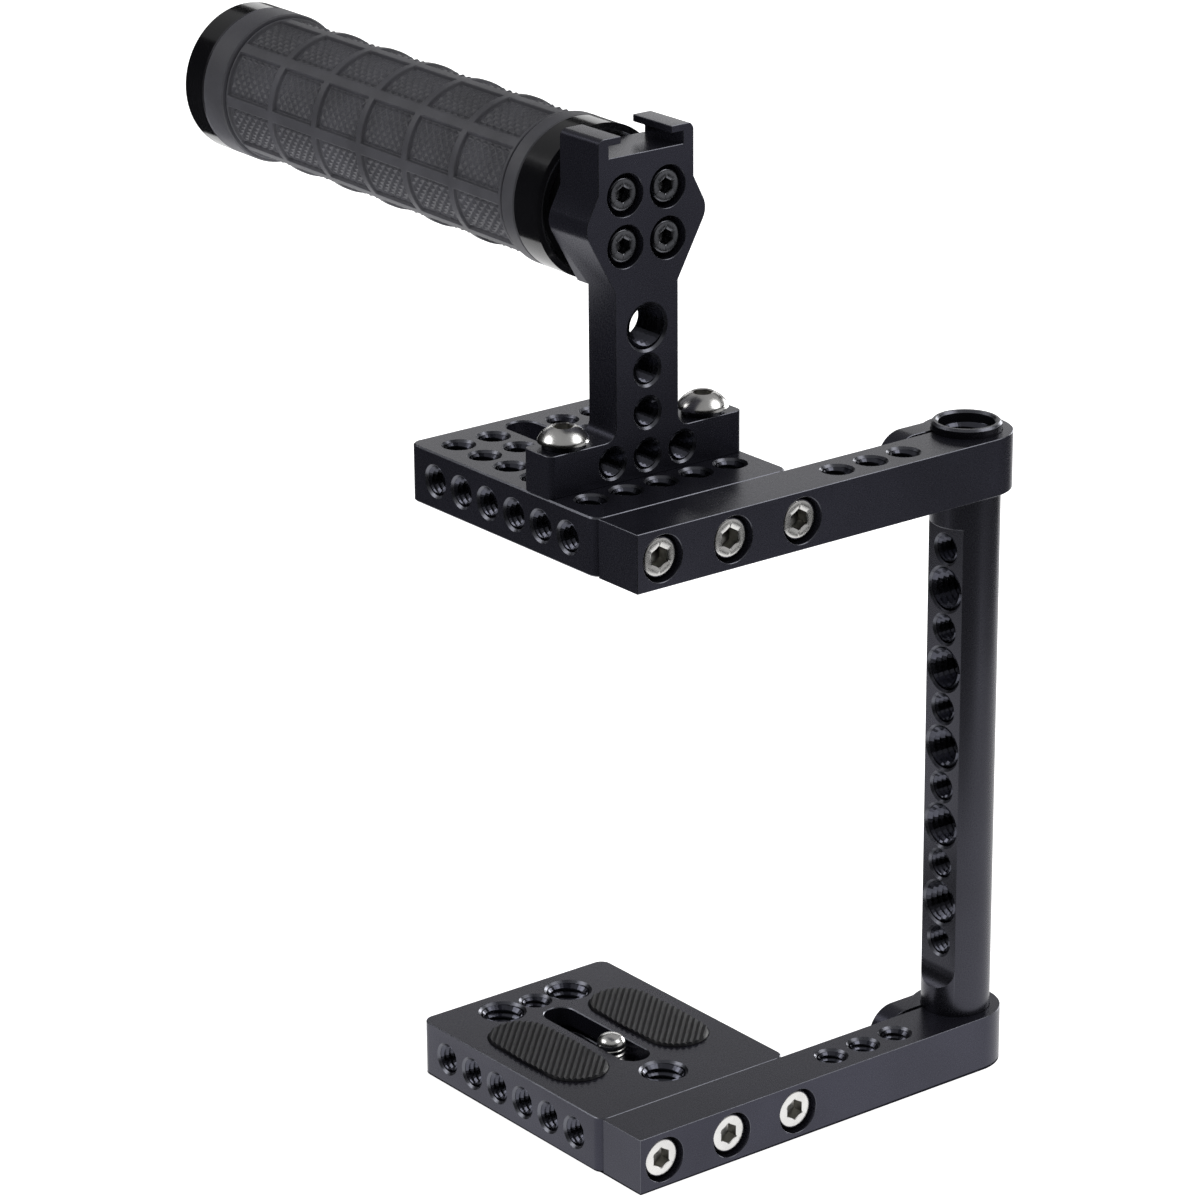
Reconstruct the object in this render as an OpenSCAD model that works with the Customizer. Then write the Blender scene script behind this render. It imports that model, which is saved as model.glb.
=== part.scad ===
// Half cage for a camera: two tapped plates on arms, clamped to a round rod,
// with a rubber top handle. The origin is the tripod thread's mouth in the base plate's
// underside, X runs along the arms, Y toward the back and Z up.

/* [Plates] */
// Width of each plate, along the arms
plate_w = 50; // [48:0.5:60]
// Depth of each plate, away from its arm
plate_d = 63.5; // [62:0.5:80]
// Thickness of the plates and of the arms
plate_t = 12.5; // [12:0.5:16]
// Radius of the plates' upright corners
plate_corner_r = 2.5; // [1:0.5:4]
// Clear height between the two halves
clear_h = 119.5; // [110:0.5:160]

/* [Hole grid] */
// Distance between neighbouring tapped holes
hole_pitch = 9; // [8.5:0.1:9.5]
// Thread diameter of the small tapped holes
small_d = 6.35; // [5:0.05:6.5]
// Thread diameter of the large tapped holes
large_d = 9.525; // [8:0.005:9.6]
// Width of the chamfer round each tapped hole
hole_chamfer = 0.5; // [0.2:0.1:0.6]
// Holes along each side of a plate
side_holes = 6; // [3:1:6]
// Depth of the tapped holes in the sides
side_hole_depth = 8; // [5:0.5:10]
// Shift of the upright holes toward the back of a plate
grid_shift = 1.25; // [0.5:0.25:1.5]
// Depth of the side holes of the upper plate, clear of its upright holes
top_side_depth = 3.5; // [3:0.1:3.6]

/* [Arms] */
// Width of an arm
arm_w = 12.5; // [12:0.5:16]
// How far an arm's free end sits inside the plate's side
arm_inset = 0.6; // [0:0.1:1.5]
// First upright hole of an arm, from the middle of the plate
arm_hole_x = 32.5; // [31:0.5:33]
// Number of upright holes in an arm
arm_holes = 3; // [1:1:3]
// Thread diameter of the screws that hold an arm
arm_screw_d = 5; // [4:0.5:5]
// Head diameter of the screws that hold an arm
arm_head_d = 8.5; // [7:0.1:9]
// Head height of the screws that hold an arm
arm_head_h = 5; // [4:0.5:5]
// Length of these screws below the head
arm_screw_l = 11; // [10:0.5:11]

/* [Rod and clamps] */
// Diameter of the upright rod
rod_d = 15; // [14:0.1:15.5]
// Rod centre from the middle of the plate
rod_x = 71; // [70:0.5:90]
// Wall of the clamp round the rod
clamp_wall = 2.3; // [2:0.1:4]
// Height of the rod above the upper arm
rod_rise = 2; // [1:0.5:10]
// Thread diameter in each end of the rod
rod_thread_d = 12; // [10:1:12]
// Depth of the thread in each end of the rod
rod_thread_depth = 14; // [8:1:14]
// Depth of the flat along the rod
flat_depth = 2.3; // [1.5:0.1:2.5]
// Number of holes along the flat
rod_holes = 11; // [3:2:11]
// Lowest hole of the flat, above the lower arm
rod_hole_low = 16.3; // [16:0.1:18]
// Width of the slit in each clamp
slit_w = 1; // [0.6:0.1:1.5]
// Thickness of the clamp finger behind the slit
finger_t = 5; // [4.5:0.5:6]
// Clamp screw from the rod centre
pinch_to_rod = 11; // [11:0.5:14]
// Thread diameter of the clamp screws
pinch_d = 4; // [3:0.5:4]

/* [Camera screw] */
// Width of the slot that the camera screw runs in
slot_w = 7.2; // [6.8:0.1:7.4]
// Length of the slot
slot_l = 32.6; // [28:0.1:33]
// Place of the camera screw, from the middle of the plate
screw_shift = -3.25; // [-6:0.25:8]
// Height of the screw's tip above the plate when it hangs low
screw_rise = 2.1; // [1:0.1:3]
// How far the screw can be pushed up
screw_lift = 2.3; // [1.5:0.1:2.4]

/* [Pads] */
// Width of a rubber pad
pad_w = 14.3; // [12:0.1:14.5]
// Length of a rubber pad
pad_l = 33.3; // [28:0.1:34]
// Thickness of a rubber pad
pad_t = 2; // [1.4:0.1:2.4]
// Depth of the pocket that holds it
pad_pocket = 1.2; // [0.8:0.1:1.3]

/* [Handle post] */
// Depth of the post's foot and column
post_d = 9; // [8.5:0.5:10]
// Height of the foot
foot_h = 9; // [8.5:0.5:11]
// Width of the column
column_w = 16; // [14:0.5:17]
// Height of the whole post
post_h = 72; // [71:0.5:80]
// Depth of the head
head_d = 12.5; // [11:0.5:14]
// Height of the head's narrow end above the upper plate
head_neck_h = 40; // [38:0.5:42]
// Height of its widest corners above the upper plate
head_wide_h = 53.8; // [52:0.2:56]
// Height of its upper block's lower edge above the upper plate
head_block_h = 60.8; // [59:0.2:62]
// Width of the head's upper block
head_w = 24.2; // [24:0.1:26]
// Width of the head at its widest
head_wide = 31.5; // [29:0.1:32]
// Opening between the lips of the accessory shoe
shoe_open = 12.8; // [12.6:0.1:14]
// Width of the shoe's channel under its lips
shoe_w = 18.8; // [18.7:0.1:19.2]
// Height of the shoe's channel under its lips
shoe_h = 2.6; // [2.2:0.1:2.8]
// Thickness of the shoe's lips
shoe_lip = 1.5; // [1.2:0.1:1.8]

/* [Grip] */
// Diameter of the grip over its ribs
grip_d = 31.5; // [29:0.5:34]
// Length of the handle behind the post's head
grip_l = 131; // [120:1:150]
// Height of the grip's axis above the upper plate
grip_h = 54.5; // [52:0.5:56]
// Angle by which the grip rises toward its end
grip_rise = 0.8; // [0:0.1:1]
// Number of rib rings
rib_rings = 7; // [4:1:9]
// Number of ribs along the grip
rib_lines = 8; // [4:1:12]

/* [Hidden] */
$fn = 64;

// One overrun for all cuts, and the gaps of the fits
over = 0.5;
run_gap = 0.05;
bolt_gap = 0.25;
seat_gap = 0.1;

// Levels and faces
top_z = plate_t + clear_h;
deck_z = top_z + plate_t;
half_grid = (side_holes - 1) * hole_pitch / 2;
plate_y = half_grid - grid_shift;
row_back_y = 2 * half_grid;
seam_y = plate_y - plate_d / 2;
front_y = seam_y - arm_w;
arm_y = front_y + arm_w / 2;

// Arm screws sit on every second line of the grid
arm_screw_x = 2 * hole_pitch;
arm_bore_gap = 0.75;
arm_head_sink = 1;
arm_socket_d = 4.6;
arm_socket_depth = 2.6;
arm_body_gap = 0.15;
arm_tap_spare = 0.5;

// Rod clamp
clamp_r = rod_d / 2 + clamp_wall;
bore_r = rod_d / 2 + run_gap;
rod_y = front_y + clamp_r;
finger_y = seam_y + slit_w;
finger_back = finger_y + finger_t;
rod_low = 0.5;
rod_high = deck_z + rod_rise;
rod_chamfer = 0.5;
rod_hole_depth = 9;
flat_x = rod_x - rod_d / 2 + flat_depth;
flat_margin = 5.5;
flat_cutter_r = 6;
flat_low = plate_t + rod_hole_low - flat_margin;
flat_high = plate_t + rod_hole_low + (rod_holes - 1) * hole_pitch + flat_margin;

// Clamp screws
pinch_x = rod_x - pinch_to_rod;
pinch_head_d = 7;
pinch_head_h = 4;
pinch_sink = 2;
pinch_head_gap = 0.4;
pinch_hole_gap = 0.2;
pinch_socket_d = 3.4;
pinch_socket_depth = 2;
pinch_grip = 7.5;
pinch_tap_spare = 1;

// Slot, slider and camera screw
slot_shift = 2.1;
slot_top_shift = 12.6;
slot_y = plate_y + slot_shift;
slot_top_y = plate_y + slot_top_shift;
screw_y = plate_y + screw_shift;
channel_z = 8.2;
ledge_z = 6.2;
channel_side = 0.4;
knob_d = 9.4;
knob_h = 2.8;
knob_slot_w = 1.6;
knob_slot_depth = 1.2;
neck_d = 4.9;
neck_gap = 0.35;
washer_d = 9;
washer_t = 0.7;
washer_z = 0.1;
slider_w = 13.8;
slider_l = 8;
slider_gap = 0.2;
screw_end = 0.8;
slider_z = ledge_z + slider_gap;
slider_t = channel_z - ledge_z - 2 * slider_gap;
knob_z = slider_z - screw_lift - washer_t - 2 * washer_z - knob_h;
channel_w = knob_d + 2 * channel_side;
slide_travel = slot_l - slot_w;

// Columns of the upper plate's grid, and its slot
top_columns = [-2, -1, 1, 2];
under_w = 10;
under_h = 5;

// Pads beside the slot
pad_x = 13.7;
pad_y = half_grid;

// Post and shoe
post_mid_y = hole_pitch;
post_front = post_mid_y - post_d / 2;
foot_w = plate_w;
foot_corner_r = 1.6;
foot_fillet = 2.8;
foot_top = deck_z + foot_h;
head_top = deck_z + post_h;
shoe_floor = head_top - shoe_lip - shoe_h;
head_neck_z = deck_z + head_neck_h;
head_wide_z = deck_z + head_wide_h;
head_block_z = deck_z + head_block_h;
head_round_r = 4.5;
head_top_r = 1.5;
head_round_steps = 6;
post_large_row = 3;
foot_bolt_x = 2 * hole_pitch;
foot_bolt_d = 10.8;
foot_bolt_h = 3.6;
foot_bolt_rim = 0.4;
foot_bolt_reach = 9;
foot_bolt_socket = 4.4;
foot_bolt_socket_depth = 1.6;
foot_washer_t = 1.1;
foot_washer_d = 9;

// Four screws through the head into the handle
head_screw_dx = 5.4;
head_screw_dz = 5.3;
head_screw_d = 4;
head_screw_head = 7;
head_screw_head_h = 4;
head_bore_d = 9;
head_bore_depth = 4.6;
head_screw_reach = 10;
head_socket_d = 3.4;
head_socket_depth = 2;

// Grip
grip_z = deck_z + grip_h;
grip_y = post_front + head_d;
core_d = 24.4;
core_bore = 12;
collar_gap = 2.2;
collar_l = 8.2;
collar_rise = 0.35;
collar_lip = 1.2;
flange_rise = 0.75;
flange_l = 5.6;
rear_flange_l = 8.4;
rib_w = 1.8;
rib_h = 0.65;
rib_line_share = 0.9;
cap_l = 8;
cap_edge = 1.2;
cap_wall = 2.5;
rubber_d = grip_d - 2 * rib_h;
flange_d = grip_d + 2 * flange_rise;
collar_r = grip_d / 2 + collar_rise;
rubber_y = grip_y + collar_gap + collar_l;
rubber_l = grip_l - collar_gap - collar_l - cap_l;
rib_first = rubber_y + flange_l;
rib_last = rubber_y + rubber_l - rear_flange_l;

metal = "#26262a";

// Flat shapes: a rectangle with round corners, and a slot with round ends
module round_rect(w, d, r) {
    square([w - 2 * r, d], center = true);
    square([w, d - 2 * r], center = true);
    for (x = [-1, 1], y = [-1, 1]) translate([x * (w / 2 - r), y * (d / 2 - r)]) circle(r);
}

module round_slot(w, l) {
    square([w, l - w], center = true);
    for (y = [-1, 1]) translate([0, y * (l - w) / 2]) circle(w / 2);
}

// Tool for a tapped hole: it starts on z = 0, goes down, and opens in a chamfer
module tapped(d, depth) {
    translate([0, 0, -depth]) cylinder(d = d, h = depth + over);
    translate([0, 0, -hole_chamfer]) cylinder(d1 = d, d2 = d + 2 * hole_chamfer, h = hole_chamfer);
    cylinder(d = d + 2 * hole_chamfer, h = over);
}

// The same hole right through a plate, with a chamfer on both faces
module tapped_through(d, t) {
    tapped(d, t + over);
    translate([0, 0, -t]) mirror([0, 0, 1]) tapped(d, over);
}

// Screw with a socket head: the head's seat is z = 0 and the shank points down
module socket_screw(d, reach, head_d, head_h, socket_d, socket_depth) {
    difference() {
        union() {
            translate([0, 0, -reach]) cylinder(d = d, h = reach);
            cylinder(d = head_d, h = head_h);
        }
        translate([0, 0, head_h - socket_depth]) cylinder(d = socket_d, h = socket_depth + over, $fn = 6);
    }
}

// Body of a plate with its side holes and the tapped holes for its arm
module plate_blank(side_depth) {
    difference() {
        translate([0, plate_y, 0]) linear_extrude(plate_t) round_rect(plate_w, plate_d, plate_corner_r);
        for (side = [-1, 1], i = [0 : side_holes - 1])
            translate([side * plate_w / 2, plate_y + i * hole_pitch - half_grid, plate_t / 2])
                rotate([0, side * 90, 0]) tapped(small_d, side_depth);
        for (i = [-1 : 1])
            translate([i * arm_screw_x, seam_y, plate_t / 2])
                rotate([90, 0, 0])
                    translate([0, 0, -arm_screw_l + arm_w - arm_head_h - arm_head_sink - arm_tap_spare])
                        cylinder(d = arm_screw_d, h = plate_t);
    }
}

module base_plate() {
    color(metal) difference() {
        plate_blank(side_hole_depth);
        for (x = [-1, 1])
            translate([x * hole_pitch, row_back_y, plate_t]) tapped_through(large_d, plate_t);
        translate([0, row_back_y, plate_t]) tapped_through(small_d, plate_t);
        translate([0, 0, plate_t]) tapped(large_d, plate_t + over);
        translate([0, slot_y, channel_z - over])
            linear_extrude(plate_t) round_slot(slot_w, slot_l);
        translate([0, slot_y, -over])
            linear_extrude(channel_z + over) round_slot(channel_w, slide_travel + channel_w);
        translate([0, slot_y, ledge_z + (channel_z - ledge_z) / 2])
            cube([slider_w + 2 * slider_gap, slide_travel + slider_l + 2 * slider_gap, channel_z - ledge_z],
                 center = true);
        for (x = [-1, 1])
            translate([x * pad_x, pad_y, plate_t - pad_pocket])
                linear_extrude(pad_pocket + over) round_slot(pad_w, pad_l);
    }
}

module pad(side) {
    color("#1c1c1e") translate([side * pad_x, pad_y, plate_t - pad_pocket])
        linear_extrude(pad_t) round_slot(pad_w, pad_l);
}

// Upper plate: a full grid of small holes, a front row of five and a slot
module top_plate() {
    color(metal) translate([0, 0, top_z]) difference() {
        plate_blank(top_side_depth);
        for (x = top_columns, y = [0 : side_holes - 1])
            translate([x * hole_pitch, y * hole_pitch, plate_t])
                tapped_through(small_d, plate_t);
        translate([0, 0, plate_t]) tapped_through(small_d, plate_t);
        translate([0, slot_top_y, -over]) linear_extrude(plate_t + 2 * over) round_slot(slot_w, slot_l);
        translate([0, slot_top_y, -over])
            linear_extrude(under_h + over) round_slot(under_w, slot_l + under_w - slot_w);
    }
}

// Plan of an arm: a bar, the ring round the rod and the clamp finger's root behind the slit
module arm_plan() {
    difference() {
        union() {
            translate([arm_inset - plate_w / 2, front_y])
                square([rod_x - arm_inset + plate_w / 2, arm_w]);
            translate([rod_x, rod_y]) circle(clamp_r);
            translate([pinch_x, seam_y - slit_w])
                square([pinch_to_rod, finger_back - seam_y + slit_w]);
        }
        translate([pinch_x - over, seam_y]) square([pinch_to_rod + over, slit_w]);
    }
}

// Arm with counterbores in front and upright holes. The finger ends in a half-round lug
// that is concentric with the clamp screw, and the rod's bore goes through all of it
module arm() {
    difference() {
        union() {
            linear_extrude(plate_t) arm_plan();
            translate([pinch_x, finger_y, plate_t / 2])
                rotate([-90, 0, 0]) cylinder(d = plate_t, h = finger_t);
        }
        translate([rod_x, rod_y, -over]) cylinder(r = bore_r, h = plate_t + 2 * over);
        for (i = [-1 : 1]) translate([i * arm_screw_x, front_y, plate_t / 2]) rotate([90, 0, 0]) {
            translate([0, 0, -arm_w - over])
                cylinder(d = arm_screw_d + 2 * arm_body_gap, h = arm_w + 2 * over);
            translate([0, 0, -arm_head_h - arm_head_sink])
                cylinder(d = arm_head_d + 2 * arm_bore_gap, h = arm_head_h + arm_head_sink + over);
        }
        for (i = [0 : arm_holes - 1])
            translate([arm_hole_x + i * hole_pitch, arm_y, plate_t]) tapped_through(small_d, plate_t);
        translate([pinch_x, finger_back, plate_t / 2]) rotate([-90, 0, 0]) {
            translate([0, 0, finger_y - finger_back - over])
                cylinder(d = pinch_d + 2 * pinch_hole_gap, h = finger_back - finger_y + 2 * over);
            translate([0, 0, -pinch_sink])
                cylinder(d = pinch_head_d + 2 * pinch_head_gap, h = pinch_sink + over);
            translate([0, 0, seam_y - finger_back - pinch_grip - pinch_tap_spare])
                cylinder(d = pinch_d + 2 * run_gap, h = pinch_grip + pinch_tap_spare + over);
        }
    }
}

module base_arm() { color(metal) arm(); }
module top_arm() { color(metal) translate([0, 0, top_z]) arm(); }

// Socket screws that pull an arm against its plate
module arm_screw(i, z) {
    color("#d8d6d0") translate([i * arm_screw_x, front_y + arm_head_h + arm_head_sink, z + plate_t / 2])
        rotate([90, 0, 0])
            socket_screw(arm_screw_d, arm_screw_l, arm_head_d, arm_head_h, arm_socket_d, arm_socket_depth);
}

// Screw that closes a clamp, put in from behind
module clamp_screw(z) {
    color("#2c2c2e") translate([pinch_x, finger_back - pinch_sink + seat_gap, z + plate_t / 2])
        rotate([-90, 0, 0])
            socket_screw(pinch_d, finger_back - pinch_sink - seam_y + pinch_grip,
                         pinch_head_d, pinch_head_h, pinch_socket_d, pinch_socket_depth);
}

// Round rod with a long flat toward the plates, and a thread in each end
module rod() {
    color("#2a2b30") difference() {
        translate([rod_x, rod_y, 0]) union() {
            translate([0, 0, rod_low + rod_chamfer])
                cylinder(d = rod_d, h = rod_high - rod_low - 2 * rod_chamfer);
            translate([0, 0, rod_high - rod_chamfer])
                cylinder(d1 = rod_d, d2 = rod_d - 2 * rod_chamfer, h = rod_chamfer);
            translate([0, 0, rod_low])
                cylinder(d1 = rod_d - 2 * rod_chamfer, d2 = rod_d, h = rod_chamfer);
        }
        translate([flat_x - flat_cutter_r, rod_y - rod_d / 2, flat_low])
            cube([flat_cutter_r, rod_d, flat_high - flat_low]);
        translate([flat_x - flat_cutter_r, rod_y - rod_d / 2, flat_low])
            rotate([-90, 0, 0]) cylinder(r = flat_cutter_r, h = rod_d);
        for (i = [0 : rod_holes - 1])
            translate([flat_x, rod_y, plate_t + rod_hole_low + i * hole_pitch])
                rotate([0, -90, 0]) tapped(i % 2 == 0 ? small_d : large_d, rod_hole_depth);
        translate([rod_x, rod_y, rod_high]) tapped(rod_thread_d, rod_thread_depth);
        translate([rod_x, rod_y, rod_low]) mirror([0, 0, 1]) tapped(rod_thread_d, rod_thread_depth);
    }
}

// Plate that runs in the channel's side grooves and carries the camera screw
module screw_slider() {
    color("#8a8b8e") translate([0, screw_y, slider_z]) linear_extrude(slider_t) difference() {
        intersection() {
            square([slider_w, slider_l], center = true);
            circle(d = slider_w);
        }
        circle(d = neck_d + 2 * run_gap);
    }
}

// Washer on the screw's neck, which rises with it
module screw_washer() {
    color("#9a9a9c") translate([0, screw_y, knob_z + knob_h + washer_z])
        linear_extrude(washer_t) difference() {
            circle(d = washer_d);
            circle(d = neck_d + 2 * neck_gap);
        }
}

module camera_screw() {
    tip_z = plate_t + screw_rise;
    thread_z = slider_z + slider_t + slider_gap;
    color("#c9c6bf") translate([0, screw_y, 0]) difference() {
        union() {
            translate([0, 0, knob_z]) cylinder(d = knob_d, h = knob_h);
            translate([0, 0, knob_z]) cylinder(d = neck_d, h = thread_z + over - knob_z);
            translate([0, 0, thread_z]) cylinder(d = small_d, h = tip_z - screw_end - thread_z);
            translate([0, 0, tip_z - screw_end])
                cylinder(d1 = small_d, d2 = small_d - 2 * screw_end, h = screw_end);
        }
        translate([0, 0, knob_z + knob_slot_depth / 2 - over / 2])
            cube([knob_d + over, knob_slot_w, knob_slot_depth + over], center = true);
    }
}

// Points of a round corner of radius r at p, between the points a and b
function unit(v) = v / norm(v);
function corner(a, p, b, r) = let (
    u = unit(a - p), v = unit(b - p), half = acos(u * v) / 2,
    c = p + unit(u + v) * r / sin(half), s = p + u * r / tan(half), e = p + v * r / tan(half))
    [for (i = [0 : head_round_steps]) c + unit(s + (e - s) * i / head_round_steps - c) * r];

// Front outline of the post's head, with its widest and top corners rounded and the shoe cut in
module head_outline() {
    neck = [column_w / 2, head_neck_z];
    wide = [head_wide / 2, head_wide_z];
    block = [head_w / 2, head_block_z];
    difference() {
        for (side = [0, 1]) mirror([side, 0]) polygon(concat(
            [[0, head_neck_z], neck], corner(neck, wide, block, head_round_r), [block],
            corner(block, [head_w / 2, head_top], [0, head_top], head_top_r), [[0, head_top]]));
        translate([-shoe_open / 2, shoe_floor]) square([shoe_open, head_top - shoe_floor + over]);
        translate([-shoe_w / 2, shoe_floor]) square([shoe_w, shoe_h]);
    }
}

// Front outline of the foot and the column, joined by two fillets
module stem_outline() {
    translate([-foot_w / 2, deck_z]) square([foot_w, foot_h]);
    translate([-column_w / 2, deck_z]) square([column_w, head_neck_z - deck_z]);
    for (side = [-1, 1]) difference() {
        translate([side * (column_w + foot_fillet) / 2, foot_top + foot_fillet / 2])
            square(foot_fillet, center = true);
        translate([side * (column_w / 2 + foot_fillet), foot_top + foot_fillet]) circle(foot_fillet);
    }
}

module upright(depth) {
    translate([0, depth, 0]) rotate([90, 0, 0]) linear_extrude(depth) children();
}

module handle_post() {
    color(metal) difference() {
        intersection() {
            translate([0, post_front, 0]) union() {
                upright(post_d) stem_outline();
                upright(head_d) head_outline();
            }
            union() {
                translate([0, post_mid_y, deck_z])
                    linear_extrude(foot_h + foot_fillet) round_rect(foot_w, post_d, foot_corner_r);
                translate([-head_wide / 2, post_front, foot_top])
                    cube([head_wide, head_d, post_h]);
            }
        }
        for (i = [0 : post_large_row - 1])
            translate([0, post_front, deck_z + hole_pitch / 2 + i * hole_pitch])
                rotate([90, 0, 0]) tapped_through(small_d, post_d);
        for (side = [-1, 1])
            translate([side * hole_pitch, post_front, deck_z + hole_pitch / 2])
                rotate([90, 0, 0]) tapped_through(small_d, post_d);
        translate([0, post_front, deck_z + hole_pitch / 2 + post_large_row * hole_pitch])
            rotate([90, 0, 0]) tapped_through(large_d, post_d);
        for (side = [-1, 1])
            translate([side * foot_bolt_x, post_mid_y, deck_z - over])
                cylinder(d = small_d + 2 * bolt_gap, h = foot_h + 2 * over);
        for (x = [-1, 1], z = [-1, 1])
            translate([x * head_screw_dx, post_front, grip_z + z * head_screw_dz]) rotate([90, 0, 0]) {
                translate([0, 0, -head_d - over])
                    cylinder(d = head_screw_d + 2 * bolt_gap, h = head_d + 2 * over);
                translate([0, 0, -head_bore_depth]) cylinder(d = head_bore_d, h = head_bore_depth + over);
            }
    }
}

// Button-headed bolts that hold the foot on the upper plate, each on a washer
module foot_bolt(side) {
    seat_z = foot_top + foot_washer_t;
    color("#d4d2cc") translate([side * foot_bolt_x, post_mid_y, seat_z]) difference() {
        union() {
            translate([0, 0, -foot_h - foot_washer_t - foot_bolt_reach])
                cylinder(d = small_d, h = foot_h + foot_washer_t + foot_bolt_reach);
            cylinder(d = foot_bolt_d, h = foot_bolt_rim);
            rotate_extrude() intersection() {
                scale_h = foot_bolt_h - foot_bolt_rim;
                dome_r = (pow(foot_bolt_d / 2, 2) + pow(scale_h, 2)) / (2 * scale_h);
                translate([0, foot_bolt_h - dome_r]) circle(dome_r);
                translate([0, foot_bolt_rim / 2]) square([foot_bolt_d / 2, foot_bolt_h]);
            }
        }
        translate([0, 0, foot_bolt_h - foot_bolt_socket_depth])
            cylinder(d = foot_bolt_socket, h = foot_bolt_socket_depth + over, $fn = 6);
    }
}

module foot_washer(side) {
    color("#2c2c2e") translate([side * foot_bolt_x, post_mid_y, foot_top])
        linear_extrude(foot_washer_t) difference() {
            circle(d = foot_washer_d);
            circle(d = small_d + 2 * bolt_gap);
        }
}

module head_screw(x, z) {
    color("#3c3d40")
        translate([x * head_screw_dx, post_front + head_bore_depth, grip_z + z * head_screw_dz])
            rotate([90, 0, 0])
                socket_screw(head_screw_d, head_d - head_bore_depth + head_screw_reach,
                             head_screw_head, head_screw_head_h, head_socket_d, head_socket_depth);
}

// Things along the handle point backward and rise a little, from the head's back face
module along_grip(y) {
    translate([0, grip_y, grip_z]) rotate([grip_rise - 90, 0, 0]) translate([0, 0, y - grip_y]) children();
}

// Metal core of the handle, cut flush with the head's back face
module grip_core() {
    color("#4a4b4e") difference() {
        along_grip(grip_y - over) cylinder(d = core_d, h = grip_l - cap_wall + over);
        translate([-core_d, grip_y - core_d, grip_z - core_d]) cube([2 * core_d, core_d, 2 * core_d]);
        along_grip(grip_y + head_screw_reach + head_screw_d)
            cylinder(d = core_bore, h = grip_l);
        for (x = [-1, 1], z = [-1, 1])
            translate([x * head_screw_dx, grip_y - over, grip_z + z * head_screw_dz]) rotate([-90, 0, 0])
                cylinder(d = head_screw_d, h = head_screw_reach + over);
    }
}

module front_collar() {
    color("#0e0e10") along_grip(grip_y + collar_gap) rotate_extrude() polygon([
        [core_d / 2, collar_lip], [collar_r - 2 * collar_lip, collar_lip],
        [collar_r - collar_lip, 0], [collar_r, collar_lip / 2],
        [collar_r, collar_l], [core_d / 2, collar_l]
    ]);
}

// Rubber sleeve: a flange at each end, the far one raised, and rings and lines of ribs between
module grip_rubber() {
    ring_step = (rib_last - rib_first) / (rib_rings - 1);
    color("#3f3e42") difference() {
        union() {
            along_grip(rubber_y) cylinder(d = rubber_d, h = rubber_l);
            along_grip(rubber_y) cylinder(d = grip_d, h = flange_l);
            along_grip(rib_last + rib_w / 2) cylinder(d = flange_d, h = rear_flange_l - rib_w / 2);
            for (i = [1 : rib_rings - 1])
                along_grip(rib_first + i * ring_step - rib_w / 2) cylinder(d = grip_d, h = rib_w);
            for (i = [0 : rib_lines - 1]) along_grip(rib_first)
                rotate(i * 360 / rib_lines) translate([0, -rib_w / 2, 0])
                    cube([rubber_d / 2 + rib_line_share * rib_h, rib_w, rib_last - rib_first]);
        }
        along_grip(rubber_y - over) cylinder(d = core_d, h = rubber_l + 2 * over);
    }
}

module end_cap() {
    color("#0e0e10") along_grip(rubber_y + rubber_l) rotate_extrude() polygon([
        [core_d / 2, 0], [flange_d / 2, 0], [flange_d / 2, cap_l - cap_edge],
        [flange_d / 2 - cap_edge, cap_l], [0, cap_l], [0, cap_l - cap_wall],
        [core_d / 2, cap_l - cap_wall]
    ]);
}

base_plate();
base_arm();
arm_screw(-1, 0);  // base_arm_screw_1
arm_screw(0, 0);  // base_arm_screw_2
arm_screw(1, 0);  // base_arm_screw_3
pad(-1);  // pad_left
pad(1);  // pad_right
screw_slider();
screw_washer();
camera_screw();
clamp_screw(0);  // base_clamp_screw
rod();
top_plate();
top_arm();
arm_screw(-1, top_z);  // top_arm_screw_1
arm_screw(0, top_z);  // top_arm_screw_2
arm_screw(1, top_z);  // top_arm_screw_3
clamp_screw(top_z);  // top_clamp_screw
handle_post();
foot_bolt(-1);  // foot_bolt_left
foot_bolt(1);  // foot_bolt_right
foot_washer(-1);  // foot_washer_left
foot_washer(1);  // foot_washer_right
head_screw(-1, 1);  // head_screw_1
head_screw(1, 1);  // head_screw_2
head_screw(-1, -1);  // head_screw_3
head_screw(1, -1);  // head_screw_4
grip_core();
grip_rubber();
front_collar();
end_cap();
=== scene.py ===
import math

import bmesh
import bpy
from mathutils import Matrix, Vector


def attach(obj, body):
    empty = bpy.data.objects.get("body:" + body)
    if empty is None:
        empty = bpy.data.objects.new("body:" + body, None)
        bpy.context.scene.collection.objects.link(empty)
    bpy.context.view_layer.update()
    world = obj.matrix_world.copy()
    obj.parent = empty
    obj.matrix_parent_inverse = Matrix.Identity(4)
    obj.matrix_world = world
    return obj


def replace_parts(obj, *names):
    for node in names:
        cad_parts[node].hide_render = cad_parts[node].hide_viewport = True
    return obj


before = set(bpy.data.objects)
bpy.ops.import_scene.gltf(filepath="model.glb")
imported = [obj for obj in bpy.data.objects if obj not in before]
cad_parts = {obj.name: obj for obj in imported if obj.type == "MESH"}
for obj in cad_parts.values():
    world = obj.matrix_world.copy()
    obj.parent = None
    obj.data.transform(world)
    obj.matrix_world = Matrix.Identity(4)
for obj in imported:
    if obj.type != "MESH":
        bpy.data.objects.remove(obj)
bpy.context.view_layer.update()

mm = 0.001

# Base plate: a block of aluminium alloy, milled, tapped and anodised black, that stands on the
# ground. Its edges are broken by a narrow chamfer, which catches the light as a thin bright line,
# helped by a painted highlight in the chamfers' lighter colour.
# The object's sizes are in millimetres.
plate_half, plate_middle, deck_low = 25, 21.25, 12.5
block_cut = 0.4


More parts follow.
